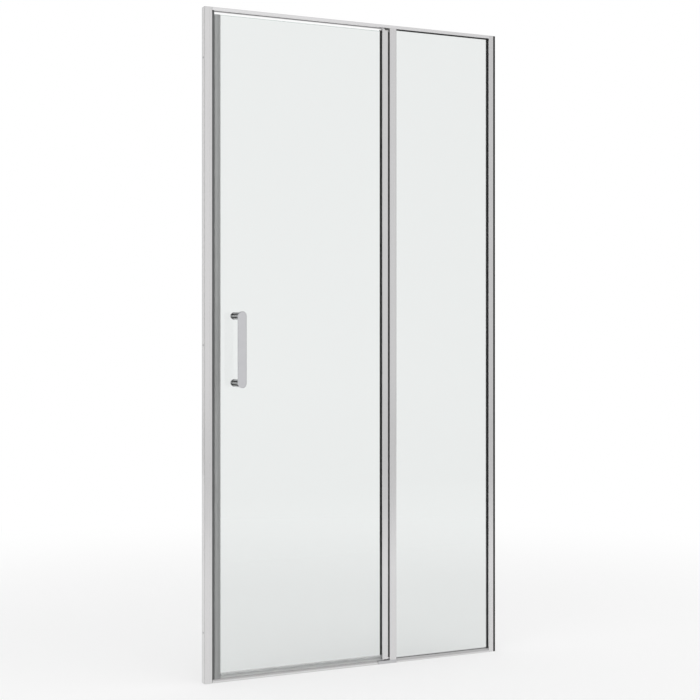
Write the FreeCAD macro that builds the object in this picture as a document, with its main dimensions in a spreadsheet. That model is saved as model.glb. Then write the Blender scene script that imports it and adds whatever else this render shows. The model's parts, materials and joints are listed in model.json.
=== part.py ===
import FreeCAD, Part
import math
import os
import Sketcher

# Pivot shower door with a fixed panel beside it, for a niche.
# Frame: +X to the right seen from outside, +Y into the shower, +Z up.
# The origin is at mid-width, in the middle of the glass, on the underside of the threshold.

# Driving sizes in millimetres
SIZES = (
    # Whole door
    ("overall_width", "1000"),          # wall to wall
    ("overall_height", "2000"),
    ("frame_depth", "25"),              # depth of every upright and rail
    ("doorway_width", "590.2"),         # face of the strike jamb to the hinge post
    ("glass_thickness", "6"),
    ("glass_arris", "0.6"),             # chamfer on the panes' edges
    ("cut_overrun", "5"),               # how far a cut runs past what it cuts
    # Walls, slots and fits shared by the sections
    ("jamb_wall", "1.6"),
    ("slot_wall", "1.4"),               # wall beside a glass slot
    ("slot_depth", "11.4"),             # glass slot of post and right jamb
    ("gasket_wall", "1.5"),             # gasket between glass and slot
    ("seat_clearance", "0.05"),
    ("slide_clearance", "0.3"),
    ("edge_radius", "1.2"),             # rounded outer edges of the sections
    ("face_radius", "2.4"),             # fuller edges beside the faces of hinge section, post and right jamb
    # Wall channels
    ("channel_wall", "1.8"),
    ("strike_channel_depth", "13.5"),
    ("fixed_channel_depth", "20"),
    ("wall_hole_radius", "2.75"),
    ("wall_hole_inset", "150"),         # end of the channel to its outer fixing holes
    # Strike jamb and its magnet strip
    ("strike_face", "24"),
    ("strike_reveal", "0.5"),           # wall to the jamb's legs
    ("strike_web_offset", "17"),        # wall to the jamb's web
    ("face_groove_width", "0.8"),
    ("face_groove_depth", "0.4"),
    ("magnet_slot_half", "5.2"),
    ("magnet_mouth_half", "3.2"),
    ("magnet_slot_lip", "1.6"),
    ("strip_clearance", "0.15"),
    ("magnet_tube_half", "4.8"),
    ("magnet_tube_wall", "1"),
    ("strike_tube_reach", "9.4"),       # face of the jamb to the strip's closing face
    ("magnet_clearance", "0.1"),
    ("magnet_end_inset", "6"),          # end of a strip to the end of its magnet
    # Right jamb
    ("fixed_face", "16.5"),
    ("fixed_reveal", "7.2"),            # wall to the jamb's legs, where the channel shows
    # Top rail, threshold and bottom rail
    ("top_rail_height", "9.6"),
    ("top_rail_roof", "2.5"),
    ("threshold_height", "10"),
    ("threshold_bevel", "3.5"),
    ("threshold_rear_height", "4"),
    ("threshold_slope_run", "4.5"),
    ("threshold_wall", "1.6"),
    ("bottom_rail_height", "11.5"),
    ("bottom_rail_floor", "3"),
    ("bottom_rail_lip", "1.5"),         # flat top in front of the glass slot
    ("bottom_rail_toe", "5"),           # upright part of the sloping front
    ("rail_end_gap", "1.2"),            # open joints at the ends of the threshold
    ("base_port_height", "4.4"),        # screw ports of threshold and bottom rail
    # Hinge post
    ("post_face", "24.2"),
    ("hinge_gap", "5.4"),               # hinge section to post
    ("gap_seal_inset", "4.5"),          # inner face of the post to the seal's middle
    ("gap_seal_mouth_half", "1"),
    ("gap_seal_foot_half", "1.7"),
    ("gap_seal_foot_depth", "2.4"),
    ("gap_seal_lip_half", "0.5"),
    ("gap_seal_clearance", "0.4"),
    # Hinge section and pivots
    ("hinge_face", "20"),
    ("hinge_wall", "1.5"),
    ("hinge_slot_depth", "9.2"),
    ("pivot_chamber", "8"),             # side of the square hollow that takes the plugs
    ("pivot_setback", "6.5"),           # front of the frame to the pivot axis
    ("pivot_gap_high", "7.4"),          # notch in the hinge section to top rail
    ("hinge_tip_gap", "3.1"),           # upper end of the hinge section to top rail
    ("notch_clearance", "0.5"),         # bush collar to the side of the notch
    ("pivot_gap_low", "4"),             # threshold to hinge section
    ("pin_radius", "3"),
    ("pin_fit", "0.05"),
    ("running_clearance", "0.05"),
    ("thrust_clearance", "0.1"),
    ("bush_radius", "4.4"),
    ("bush_fit", "0.05"),
    ("collar_radius", "6"),
    ("bush_depth", "6.5"),              # bush inside its block
    ("pin_tip_clearance", "1"),
    ("plug_length", "36"),
    ("plug_fit", "0.1"),
    ("pin_seat_depth", "28"),           # pin inside its plug
    ("top_block_half", "13"),
    ("block_fit", "0.15"),
    ("block_screw_offset", "9.5"),      # pivot axis to the top block's screws
    ("low_block_reach", "35.4"),        # hinge section's face to the block's left end
    ("low_bush_floor", "2"),            # floor under the lower bush
    # Door glass and its seals
    ("glass_drop", "2"),                # notch in the hinge section to the pane's top edge
    ("closing_gap", "0.5"),             # strike strip to door strip
    ("door_tube_width", "7.6"),
    ("seal_web", "1"),
    ("seal_leg_wall", "1.2"),
    ("seal_leg_length", "10.5"),
    ("strip_foot_gap", "0.8"),          # threshold to the lower end of the closing strip
    ("drip_leg_height", "12"),
    ("drip_web", "1.2"),
    ("drip_clearance", "0.4"),          # wipers to threshold
    ("drip_wiper_wall", "1"),
    ("drip_wiper_reach", "3"),          # inner wiper past the seal's leg
    ("seal_end_gap", "0.4"),
    # Handle
    ("grip_width", "27"),
    ("grip_thickness", "6"),
    ("grip_reach", "58"),               # glass to the front of the grip
    ("grip_edge", "1.8"),
    ("handle_inset", "58.5"),           # closing edge of the pane to the handle
    ("handle_height", "986.5"),
    ("standoff_spacing", "200"),
    ("standoff_radius", "11.5"),
    ("standoff_edge", "0.8"),
    ("spigot_radius", "5"),
    ("spigot_length", "3"),
    ("spigot_fit", "0.15"),
    ("glass_hole_radius", "6"),
    ("washer_radius", "10.8"),
    ("washer_thickness", "1"),
    ("washer_sleeve_fit", "0.1"),
    ("bolt_radius", "3.9"),
    ("bolt_fit", "0.1"),
    ("bolt_depth", "20"),               # bolt inside a standoff
    ("cap_height", "9"),
    ("cap_edge", "2"),
    # Screws
    ("port_radius", "1.5"),             # screw ports of the rails
    ("rail_screw_radius", "1.45"),
    ("rail_screw_head", "2.3"),
    ("rail_screw_head_height", "2"),
    ("rail_screw_length", "26"),
    ("lock_screw_radius", "1.8"),
    ("lock_screw_head", "3.4"),
    ("lock_screw_head_height", "2.2"),
    ("lock_screw_length", "4.6"),
    ("lock_screw_low", "204"),          # underside to the lowest lock screw
    ("lock_screw_high", "57"),          # top to the highest lock screw
    ("fixed_lock_inset", "6.7"),
    ("strike_lock_inset", "8"),
    ("post_port_radius", "1.9"),
    ("post_screw_radius", "1.85"),
    ("post_screw_head", "3.4"),
    ("post_screw_head_height", "1.6"),
    ("post_screw_length", "36"),
    ("block_screw_length", "7"),
    ("screw_hole_clearance", "0.2"),
    ("plug_screw_radius", "2"),
    ("plug_screw_length", "2.6"),
    ("plug_screw_inset", "30"),         # end of the hinge section to its set screw
)

NEARNESS = 0.001                        # two places closer than this are the same
SCREW_SIDES = 8                         # screws, their holes and ports are drawn with few sides
SEEN_SIDES = 16                         # the counterbores on top of the rail stay in view

doc = FreeCAD.newDocument("ShowerDoor")
sheet = doc.addObject("Spreadsheet::Sheet", "Sizes")
subparts = []


class Size:
    """A length: its number, and the text that ties it to the sheet."""

    def __init__(self, number, text):
        self.number = number
        self.text = text

    @staticmethod
    def of(value):
        return value if isinstance(value, Size) else Size(float(value), repr(float(value)))

    def _join(self, sign, other, number):
        return Size(number, "(%s %s %s)" % (self.text, sign, other.text))

    def __add__(self, other):
        other = Size.of(other)
        return self._join("+", other, self.number + other.number)

    def __sub__(self, other):
        other = Size.of(other)
        return self._join("-", other, self.number - other.number)

    def __mul__(self, share):
        share = Size.of(share)
        return self._join("*", share, self.number * share.number)

    def __truediv__(self, share):
        share = Size.of(share)
        return self._join("/", share, self.number / share.number)

    def __neg__(self):
        return Size(-self.number, "(0 - %s)" % self.text)


class SheetSizes:
    """The sheet's cells as attributes, one for each driving size."""

    def __init__(self):
        for row, (alias, text) in enumerate(SIZES, start=1):
            sheet.set("A%d" % row, alias)
            sheet.set("B%d" % row, text)
            sheet.setAlias("B%d" % row, alias)
            setattr(self, alias, Size(float(text), "Sizes.%s" % alias))
        doc.recompute()


D = SheetSizes()
ZERO = Size.of(0)

# Places across the depth
back = D.frame_depth / 2
front = -back
half_glass = D.glass_thickness / 2
slot_half = half_glass + D.gasket_wall
slot_side = slot_half + D.slot_wall
leg_inner = back - D.jamb_wall
channel_half = leg_inner - D.slide_clearance
port_y = (slot_half + back) / 2

# Places across the width
wall_right = D.overall_width / 2
wall_left = -wall_right
strike_edge = wall_left + D.strike_face
post_edge = strike_edge + D.doorway_width
post_right = post_edge + D.post_face
hinge_right = post_edge - D.hinge_gap
hinge_left = hinge_right - D.hinge_face
fixed_right = wall_right - D.fixed_reveal
fixed_edge = fixed_right - D.fixed_face
strike_web = wall_left + D.strike_web_offset
closing_face = strike_edge + D.strike_tube_reach
door_tube_left = closing_face + D.closing_gap
door_tube_right = door_tube_left + D.door_tube_width
pane_left = door_tube_right + D.seal_web
hinge_slot_end = hinge_left + D.hinge_slot_depth
pane_right = hinge_slot_end - D.gasket_wall
post_slot_end = post_right - D.slot_depth
panel_left = post_slot_end + D.gasket_wall
fixed_slot_end = fixed_edge + D.slot_depth
panel_right = fixed_slot_end - D.gasket_wall
pivot_x = hinge_right - D.hinge_wall - D.pivot_chamber / 2
pivot_y = front + D.pivot_setback
post_port_x = (post_edge + post_slot_end) / 2
low_block_left = hinge_right - D.low_block_reach

# Heights
rail_under = D.overall_height - D.top_rail_height
rail_slot_top = D.overall_height - D.top_rail_roof
top_port_z = (rail_under + D.overall_height) / 2
hinge_base = D.threshold_height + D.pivot_gap_low
hinge_top = rail_under - D.pivot_gap_high
hinge_tip = rail_under - D.hinge_tip_gap
pane_top = hinge_top - D.glass_drop
pane_base = hinge_base
panel_base = D.bottom_rail_floor + D.gasket_wall
panel_top = rail_slot_top - D.gasket_wall
lock_heights = (D.lock_screw_low,
                (D.lock_screw_low + D.overall_height - D.lock_screw_high) / 2,
                D.overall_height - D.lock_screw_high)
wall_hole_heights = (D.wall_hole_inset, D.overall_height / 2, D.overall_height - D.wall_hole_inset)
rail_screw_places = [(y, z) for y in (-port_y, port_y) for z in (D.base_port_height, top_port_z)]

# Directions of turned pieces: their own +Z points this way
FACING_OUT = FreeCAD.Rotation(FreeCAD.Vector(1, 0, 0), 90)
FACING_IN = FreeCAD.Rotation(FreeCAD.Vector(1, 0, 0), -90)
FACING_LEFT = FreeCAD.Rotation(FreeCAD.Vector(0, 1, 0), -90)
FACING_RIGHT = FreeCAD.Rotation(FreeCAD.Vector(0, 1, 0), 90)
FACING_DOWN = FreeCAD.Rotation(FreeCAD.Vector(1, 0, 0), 180)
FACING_UP = FreeCAD.Rotation()


def new_body(name):
    """An empty body under its own label."""
    body = doc.addObject("PartDesign::Body", name)
    body.Label = name
    return body


def keep(piece):
    """Lists a finished piece among those that get a file."""
    subparts.append(piece)
    return piece


def place(body, x=ZERO, y=ZERO, z=ZERO, facing=FACING_UP):
    """Turns a body and ties its place to the sheet."""
    body.Placement = FreeCAD.Placement(FreeCAD.Vector(), facing)
    for axis, value in (("x", x), ("y", y), ("z", z)):
        body.setExpression("Placement.Base." + axis, value.text)


def new_sketch(body, role, offset=ZERO):
    """A sketch on one of the body's own origin planes, moved along its normal by an offset."""
    sketch = body.newObject("Sketcher::SketchObject", body.Name + "_sketch")
    plane = [feature for feature in body.Origin.OriginFeatures if feature.Role == role][0]
    sketch.AttachmentSupport = [(plane, "")]
    sketch.MapMode = "FlatFace"
    sketch.setExpression("AttachmentOffset.Base.z", offset.text)
    return sketch


def fix(sketch, kind, value, *where):
    """Adds one dimension to a sketch and ties it to the sheet."""
    index = sketch.addConstraint(Sketcher.Constraint(kind, *where, value.number))
    sketch.setExpression("Constraints[%d]" % index, value.text)


def fix_point(sketch, x, y, geometry, point):
    """Ties one point of the sketch to its place from the origin."""
    fix(sketch, "DistanceX", x, -1, 1, geometry, point)
    fix(sketch, "DistanceY", y, -1, 1, geometry, point)


def outline(sketch, points):
    """A closed outline of straight edges through the points."""
    first = sketch.GeometryCount
    count = len(points)
    corners = [FreeCAD.Vector(x.number, y.number, 0) for x, y in points]
    for here, there in zip(corners, corners[1:] + corners[:1]):
        sketch.addGeometry(Part.LineSegment(here, there), False)
    for index in range(count):
        following = first + (index + 1) % count
        sketch.addConstraint(Sketcher.Constraint("Coincident", first + index, 2, following, 1))
    for index, (x, y) in enumerate(points):
        fix_point(sketch, x, y, first + index, 1)


def ring(sketch, x, y, radius):
    """A circle at a place."""
    centre = FreeCAD.Vector(x.number, y.number, 0)
    circle = Part.Circle(centre, FreeCAD.Vector(0, 0, 1), radius.number)
    index = sketch.addGeometry(circle, False)
    fix(sketch, "Radius", radius, index)
    fix_point(sketch, x, y, index, 3)


def screw_round(sketch, x, y, radius, sides=SCREW_SIDES):
    """A screw's outline or its hole: a regular polygon whose corners lie on the radius."""
    angles = [2 * math.pi * (step + 1 / 2) / sides for step in range(sides)]
    outline(sketch, [(x + radius * math.cos(angle), y + radius * math.sin(angle)) for angle in angles])


def pill(sketch, x, low, high, radius):
    """A slot shape: two half circles joined by straight sides."""
    normal = FreeCAD.Vector(0, 0, 1)
    upper = Part.Circle(FreeCAD.Vector(x.number, high.number, 0), normal, radius.number)
    lower = Part.Circle(FreeCAD.Vector(x.number, low.number, 0), normal, radius.number)
    right = (x + radius).number
    left = (x - radius).number
    corner = FreeCAD.Vector
    top_arc = sketch.addGeometry(Part.ArcOfCircle(upper, 0, math.pi), False)
    left_side = sketch.addGeometry(
        Part.LineSegment(corner(left, high.number, 0), corner(left, low.number, 0)), False)
    low_arc = sketch.addGeometry(Part.ArcOfCircle(lower, math.pi, 2 * math.pi), False)
    right_side = sketch.addGeometry(
        Part.LineSegment(corner(right, low.number, 0), corner(right, high.number, 0)), False)
    chain = (top_arc, left_side, low_arc, right_side)
    for here, there in zip(chain, chain[1:] + chain[:1]):
        sketch.addConstraint(Sketcher.Constraint("Tangent", here, 2, there, 1))
    sketch.addConstraint(Sketcher.Constraint("Equal", top_arc, low_arc))
    fix(sketch, "Radius", radius, top_arc)
    fix_point(sketch, x, high, top_arc, 3)
    fix_point(sketch, x, low, low_arc, 3)


def rectangle(x0, y0, x1, y1):
    """Corners of a rectangle."""
    return [(x0, y0), (x1, y0), (x1, y1), (x0, y1)]


def pad(body, sketch, length, symmetric=False):
    """Extrudes a sketch along its normal, or to both sides alike."""
    feature = body.newObject("PartDesign::Pad", body.Name + "_pad")
    feature.Profile = sketch
    feature.setExpression("Length", length.text)
    if symmetric:
        feature.SideType = "Symmetric"
    doc.recompute()
    return feature


def pocket(body, sketch, depth=None, reverse=False, symmetric=False):
    """Cuts a sketch out of the body, and makes sure that something was cut."""
    before = body.Shape.Volume
    feature = body.newObject("PartDesign::Pocket", body.Name + "_pocket")
    feature.Profile = sketch
    feature.Reversed = reverse
    if depth is None:
        feature.Type = "ThroughAll"
    else:
        feature.setExpression("Length", depth.text)
    if symmetric:
        feature.SideType = "Symmetric"
    doc.recompute()
    if not body.Shape.Volume < before:
        raise ValueError("a cut in %s removed nothing" % body.Label)


def turn(body, points):
    """Revolves a half outline of radius and height about the body's own Z axis."""
    sketch = new_sketch(body, "XZ_Plane")
    outline(sketch, points)
    feature = body.newObject("PartDesign::Revolution", body.Name + "_turned")
    feature.Profile = sketch
    feature.ReferenceAxis = (sketch, ["V_Axis"])
    feature.Angle = 360
    doc.recompute()


def edges_along(body, axis, places):
    """Names of the edges along one axis that stand at the given places across it."""
    across = [index for index in range(3) if index != axis]
    found = []
    for edge_name, edge in edges_by_name(body):
        first = edge.Vertexes[0].Point
        last = edge.Vertexes[-1].Point
        for place_across in places:
            stands = all(abs(end[index] - value.number) < NEARNESS
                         for end in (first, last) for index, value in zip(across, place_across))
            if stands and abs(first[axis] - last[axis]) > NEARNESS:
                found.append(edge_name)
    return found


def edges_by_name(body):
    """The last feature's edges with their names."""
    return [("Edge%d" % number, edge) for number, edge in enumerate(body.Tip.Shape.Edges, start=1)]


def on_level(edge, axis, level):
    """Whether an edge lies in the plane across one axis at a level."""
    lows = (edge.BoundBox.XMin, edge.BoundBox.YMin, edge.BoundBox.ZMin)
    highs = (edge.BoundBox.XMax, edge.BoundBox.YMax, edge.BoundBox.ZMax)
    return abs(lows[axis] - level.number) < NEARNESS and abs(highs[axis] - level.number) < NEARNESS


def finish_edges(body, kind, size_name, size, edges):
    """A fillet or chamfer of one size on the named edges."""
    base = body.Tip
    feature = body.newObject(kind, body.Name + "_edges")
    feature.Base = (base, edges)
    feature.setExpression(size_name, size.text)
    doc.recompute()


def round_uprights(body, radius, *places):
    """Fillets the upright edges at the given places in plan."""
    finish_edges(body, "PartDesign::Fillet", "Radius", radius, edges_along(body, 2, places))


def round_rails(body, radius, *places):
    """Fillets the edges along the rail at the given places in its section."""
    finish_edges(body, "PartDesign::Fillet", "Radius", radius, edges_along(body, 0, places))


def upright(name, outside, base, top, hollows=(), ports=()):
    """An upright section: outline in plan, hollows and round ports, from base to top."""
    body = new_body(name)
    sketch = new_sketch(body, "XY_Plane")
    outline(sketch, outside)
    for hollow in hollows:
        outline(sketch, hollow)
    for x, y, radius in ports:
        screw_round(sketch, x, y, radius)
    pad(body, sketch, top - base)
    place(body, z=base)
    return keep(body)


def rail(name, outside, start, end, hollows=(), ports=()):
    """A level section: outline in depth and height, hollows and round ports, from start to end."""
    body = new_body(name)
    sketch = new_sketch(body, "YZ_Plane")
    outline(sketch, outside)
    for hollow in hollows:
        outline(sketch, hollow)
    for y, z, radius in ports:
        screw_round(sketch, y, z, radius)
    pad(body, sketch, end - start)
    place(body, x=start)
    return keep(body)


def cut_along_x(body, shape, holes, reverse):
    """Holes along X through an upright, at places of depth and height above its base."""
    sketch = new_sketch(body, "YZ_Plane")
    for y, z, radius in holes:
        shape(sketch, y, z, radius)
    pocket(body, sketch, reverse=reverse)


def cut_inwards(body, holes):
    """Screw holes along +Y from the middle plane, at places of width and height."""
    sketch = new_sketch(body, "XZ_Plane")
    for x, z, radius in holes:
        screw_round(sketch, x, z, radius)
    pocket(body, sketch)


def group(name, bodies):
    """Identical pieces that share one file."""
    compound = doc.addObject("Part::Compound", name)
    compound.Label = name
    compound.Links = bodies
    return keep(compound)


def screw(name, radius, length, head, head_height):
    """A pan-head screw: its head stands on z = 0 and its shank goes down."""
    crown_share = 0.4
    body = new_body(name)
    head_sketch = new_sketch(body, "XY_Plane")
    screw_round(head_sketch, ZERO, ZERO, head)
    pad(body, head_sketch, head_height)
    crown = [edge_name for edge_name, edge in edges_by_name(body) if on_level(edge, 2, head_height)]
    finish_edges(body, "PartDesign::Chamfer", "Size", head_height * crown_share, crown)
    shank_sketch = new_sketch(body, "XY_Plane", offset=-length)
    screw_round(shank_sketch, ZERO, ZERO, radius)
    pad(body, shank_sketch, length)
    return body


# Wall channels

def wall_channel(name, wall, depth, sign, lock_x):
    """A U section whose web lies on the wall, with fixing holes and lock screw holes."""
    web = wall + D.channel_wall * sign
    mouth = wall + depth * sign
    inner = channel_half - D.channel_wall
    body = upright(name, [(wall, -channel_half), (mouth, -channel_half), (mouth, -inner), (web, -inner),
                          (web, inner), (mouth, inner), (mouth, channel_half), (wall, channel_half)],
                   ZERO, D.overall_height)
    cut_along_x(body, ring, [(ZERO, z, D.wall_hole_radius) for z in wall_hole_heights], reverse=sign < 0)
    hole = D.lock_screw_radius + D.seat_clearance
    cut_inwards(body, [(lock_x, z, hole) for z in lock_heights])


strike_lock_x = wall_left + D.strike_lock_inset
fixed_lock_x = fixed_edge + D.fixed_lock_inset
wall_channel("left_wall_channel", wall_left, D.strike_channel_depth, 1, strike_lock_x)
wall_channel("right_wall_channel", wall_right, D.fixed_channel_depth, -1, fixed_lock_x)


# Strike jamb: open towards the wall, with a slot for the magnet strip towards the door

def strike_jamb():
    leg_end = wall_left + D.strike_reveal
    web_right = strike_web + D.jamb_wall
    slot_front = strike_edge - D.magnet_slot_lip
    slot_half_width = D.magnet_slot_half
    mouth = D.magnet_mouth_half
    chamber = slot_half_width + D.jamb_wall
    groove = strike_web
    half_groove = D.face_groove_width / 2
    body = upright(
        "strike_jamb",
        [(leg_end, front), (groove - half_groove, front), (groove, front + D.face_groove_depth),
         (groove + half_groove, front), (strike_edge, front), (strike_edge, -mouth), (slot_front, -mouth),
         (slot_front, -slot_half_width), (web_right, -slot_half_width), (web_right, slot_half_width),
         (slot_front, slot_half_width), (slot_front, mouth), (strike_edge, mouth), (strike_edge, back),
         (leg_end, back), (leg_end, leg_inner), (strike_web, leg_inner), (strike_web, -leg_inner),
         (leg_end, -leg_inner)],
        ZERO, D.overall_height,
        hollows=[rectangle(web_right, -leg_inner, slot_front, -chamber),
                 rectangle(web_right, chamber, slot_front, leg_inner)])
    round_uprights(body, D.edge_radius, (strike_edge, front), (strike_edge, back))
    hole = D.rail_screw_radius + D.screw_hole_clearance
    cut_along_x(body, screw_round, [(y, z, hole) for y, z in rail_screw_places], reverse=False)
    lock_hole = D.lock_screw_radius + D.screw_hole_clearance
    cut_inwards(body, [(strike_lock_x, z, lock_hole) for z in lock_heights])


strike_jamb()


# Magnet strips: a hollow tube with a magnet bar inside, on the jamb and on the door

def strike_strip():
    gap = D.strip_clearance
    foot_left = strike_web + D.jamb_wall + gap
    foot_right = strike_edge - D.magnet_slot_lip - gap
    foot = D.magnet_slot_half - gap
    neck = D.magnet_mouth_half - gap
    tube = D.magnet_tube_half
    bore = tube - D.magnet_tube_wall
    tube_left = strike_edge + D.seat_clearance
    bore_left = tube_left + D.magnet_tube_wall
    bore_right = closing_face - D.magnet_tube_wall
    base = D.threshold_height + D.seat_clearance
    top = rail_under - D.seat_clearance
    body = upright(
        "strike_magnet_holder",
        [(foot_left, -foot), (foot_right, -foot), (foot_right, -neck), (tube_left, -neck), (tube_left, -tube),
         (closing_face, -tube), (closing_face, tube), (tube_left, tube), (tube_left, neck),
         (foot_right, neck), (foot_right, foot), (foot_left, foot)],
        base, top, hollows=[rectangle(bore_left, -bore, bore_right, bore)])
    round_uprights(body, D.edge_radius, (closing_face, -tube), (closing_face, tube))
    fit = D.magnet_clearance
    upright("strike_magnet_bar", rectangle(bore_left + fit, -(bore - fit), bore_right - fit, bore - fit),
            base + D.magnet_end_inset, top - D.magnet_end_inset)


def door_strip():
    tube = D.magnet_tube_half
    bore = tube - D.magnet_tube_wall
    leg = half_glass + D.seal_leg_wall
    leg_end = pane_left + D.seal_leg_length
    bore_left = door_tube_left + D.magnet_tube_wall
    bore_right = door_tube_right - D.magnet_tube_wall
    base = D.threshold_height + D.strip_foot_gap
    body = upright(
        "door_magnet_seal",
        [(door_tube_left, -tube), (door_tube_right, -tube), (pane_left, -leg), (leg_end, -leg),
         (leg_end, -half_glass), (pane_left, -half_glass), (pane_left, half_glass), (leg_end, half_glass),
         (leg_end, leg), (pane_left, leg), (door_tube_right, tube), (door_tube_left, tube)],
        base, pane_top, hollows=[rectangle(bore_left, -bore, bore_right, bore)])
    round_uprights(body, D.edge_radius, (door_tube_left, -tube), (door_tube_left, tube))
    fit = D.magnet_clearance
    upright("door_magnet_bar", rectangle(bore_left + fit, -(bore - fit), bore_right - fit, bore - fit),
            base + D.magnet_end_inset, pane_top - D.magnet_end_inset)


strike_strip()
door_strip()


# Right jamb: glass slot towards the panel, open towards the wall

def right_jamb():
    bridge = fixed_edge + D.jamb_wall
    slot_back = fixed_slot_end + D.slot_wall
    body = upright(
        "right_jamb",
        [(fixed_edge, front), (fixed_right, front), (fixed_right, -leg_inner), (bridge, -leg_inner),
         (bridge, -slot_side), (slot_back, -slot_side), (slot_back, slot_side), (bridge, slot_side),
         (bridge, leg_inner), (fixed_right, leg_inner), (fixed_right, back), (fixed_edge, back),
         (fixed_edge, slot_half), (fixed_slot_end, slot_half), (fixed_slot_end, -slot_half),
         (fixed_edge, -slot_half)],
        ZERO, D.overall_height)
    round_uprights(body, D.face_radius, (fixed_edge, front), (fixed_edge, back))
    round_uprights(body, D.edge_radius, (fixed_right, front))
    hole = D.rail_screw_radius + D.screw_hole_clearance
    cut_along_x(body, screw_round, [(y, z, hole) for y, z in rail_screw_places], reverse=True)
    lock_hole = D.lock_screw_radius + D.screw_hole_clearance
    cut_inwards(body, [(fixed_lock_x, z, lock_hole) for z in lock_heights])


right_jamb()


# Hinge post: glass slot towards the panel, dovetail groove for the gap seal towards the door

gap_seal_y = back - D.gap_seal_inset


def hinge_post():
    groove_floor = post_edge + D.gap_seal_foot_depth
    mouth = D.gap_seal_mouth_half
    foot = D.gap_seal_foot_half
    rib = D.post_port_radius + D.slot_wall
    chamber_left = post_edge + D.jamb_wall
    chamber_right = post_slot_end - D.slot_wall
    side_right = post_right - D.jamb_wall
    body = upright(
        "hinge_post",
        [(post_edge, front), (post_right, front), (post_right, -slot_half), (post_slot_end, -slot_half),
         (post_slot_end, slot_half), (post_right, slot_half), (post_right, back), (post_edge, back),
         (post_edge, gap_seal_y + mouth), (groove_floor, gap_seal_y + foot),
         (groove_floor, gap_seal_y - foot), (post_edge, gap_seal_y - mouth)],
        D.threshold_height, rail_under,
        hollows=[rectangle(chamber_left, -leg_inner, chamber_right, -rib),
                 rectangle(groove_floor + D.jamb_wall, rib, chamber_right, leg_inner),
                 rectangle(post_slot_end, -leg_inner, side_right, -slot_side),
                 rectangle(post_slot_end, slot_side, side_right, leg_inner)],
        ports=[(post_port_x, ZERO, D.post_port_radius)])
    round_uprights(body, D.face_radius, (post_edge, front), (post_right, front), (post_edge, back),
                   (post_right, back))


def post_gap_seal():
    gap = D.magnet_clearance
    foot_right = post_edge + D.gap_seal_foot_depth - gap
    foot = D.gap_seal_foot_half - gap
    neck = D.gap_seal_mouth_half - gap
    lip = D.gap_seal_lip_half
    tip = hinge_right + D.gap_seal_clearance
    upright("post_gap_seal",
            [(foot_right, gap_seal_y - foot), (foot_right, gap_seal_y + foot), (post_edge, gap_seal_y + neck),
             (tip, gap_seal_y + lip), (tip, gap_seal_y - lip), (post_edge, gap_seal_y - neck)],
            hinge_base, hinge_top)


hinge_post()
post_gap_seal()


# Hinge section: grips the door pane, takes a pivot plug in each end and is notched round the upper bush

def hinge_profile():
    chamber_left = pivot_x - D.pivot_chamber / 2
    chamber_right = pivot_x + D.pivot_chamber / 2
    chamber_back = pivot_y + D.pivot_chamber / 2
    side_left = hinge_left + D.hinge_wall
    inner = back - D.hinge_wall
    body = upright(
        "hinge_profile",
        [(hinge_left, front), (hinge_right, front), (hinge_right, back), (hinge_left, back),
         (hinge_left, slot_half), (hinge_slot_end, slot_half), (hinge_slot_end, -slot_half),
         (hinge_left, -slot_half)],
        hinge_base, hinge_tip,
        hollows=[rectangle(side_left, -inner, hinge_slot_end, -slot_side),
                 rectangle(side_left, slot_side, hinge_slot_end, inner),
                 rectangle(chamber_left, pivot_y - D.pivot_chamber / 2, chamber_right, chamber_back),
                 rectangle(chamber_left, chamber_back + D.hinge_wall, chamber_right, inner)])
    round_uprights(body, D.face_radius, (hinge_left, front), (hinge_right, front), (hinge_left, back),
                   (hinge_right, back))
    length = hinge_top - hinge_base
    hole = D.plug_screw_radius + D.seat_clearance
    sketch = new_sketch(body, "YZ_Plane", offset=pivot_x)
    for z in (D.plug_screw_inset, length - D.plug_screw_inset):
        screw_round(sketch, pivot_y, z, hole)
    pocket(body, sketch, reverse=True)
    notch = new_sketch(body, "XY_Plane", offset=hinge_tip - hinge_base)
    outline(notch, rectangle(pivot_x - D.collar_radius - D.notch_clearance, front - D.cut_overrun,
                             hinge_right + D.cut_overrun, back + D.cut_overrun))
    pocket(body, notch, depth=hinge_tip - hinge_top)


hinge_profile()


# Pivot plugs, pins, bushes and blocks

def pivot_plug(name, end, sign):
    """A block in one end of the hinge section, bored for its pin and cut for its set screw."""
    half = D.pivot_chamber / 2 - D.plug_fit
    body = new_body(name)
    sketch = new_sketch(body, "XY_Plane")
    outline(sketch, rectangle(-half, -half, half, half))
    pad(body, sketch, D.plug_length)
    bore = new_sketch(body, "XY_Plane", offset=D.plug_length)
    ring(bore, ZERO, ZERO, D.pin_radius + D.pin_fit)
    pocket(body, bore, depth=D.pin_seat_depth)
    seat = new_sketch(body, "YZ_Plane")
    screw_round(seat, ZERO, D.plug_length - D.plug_screw_inset, D.plug_screw_radius + D.seat_clearance)
    pocket(body, seat, reverse=True)
    start = end - D.plug_length * sign
    place(body, pivot_x, pivot_y, start, FACING_UP if sign > 0 else FACING_DOWN)
    keep(body)


def pivot_pin(name, seat, gap, facing):
    """A plain pin from its seat in the plug, across the gap and into the bush, with a chamfered tip."""
    lead_share = 0.3
    radius = D.pin_radius
    lead = radius * lead_share
    length = D.pin_seat_depth + gap + D.bush_depth - D.pin_tip_clearance
    body = new_body(name)
    turn(body, [(ZERO, ZERO), (radius, ZERO), (radius, length - lead), (radius - lead, length),
                (ZERO, length)])
    place(body, pivot_x, pivot_y, seat, facing)
    keep(body)


def pivot_bush(name, collar_height, seat, facing):
    """A flanged bush: its collar stands in the gap, its body goes into the block."""
    bore = D.pin_radius + D.running_clearance
    body = new_body(name)
    turn(body, [(bore, -D.bush_depth), (D.bush_radius, -D.bush_depth), (D.bush_radius, ZERO),
                (D.collar_radius, ZERO), (D.collar_radius, collar_height), (bore, collar_height)])
    place(body, pivot_x, pivot_y, seat, facing)
    keep(body)


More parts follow.
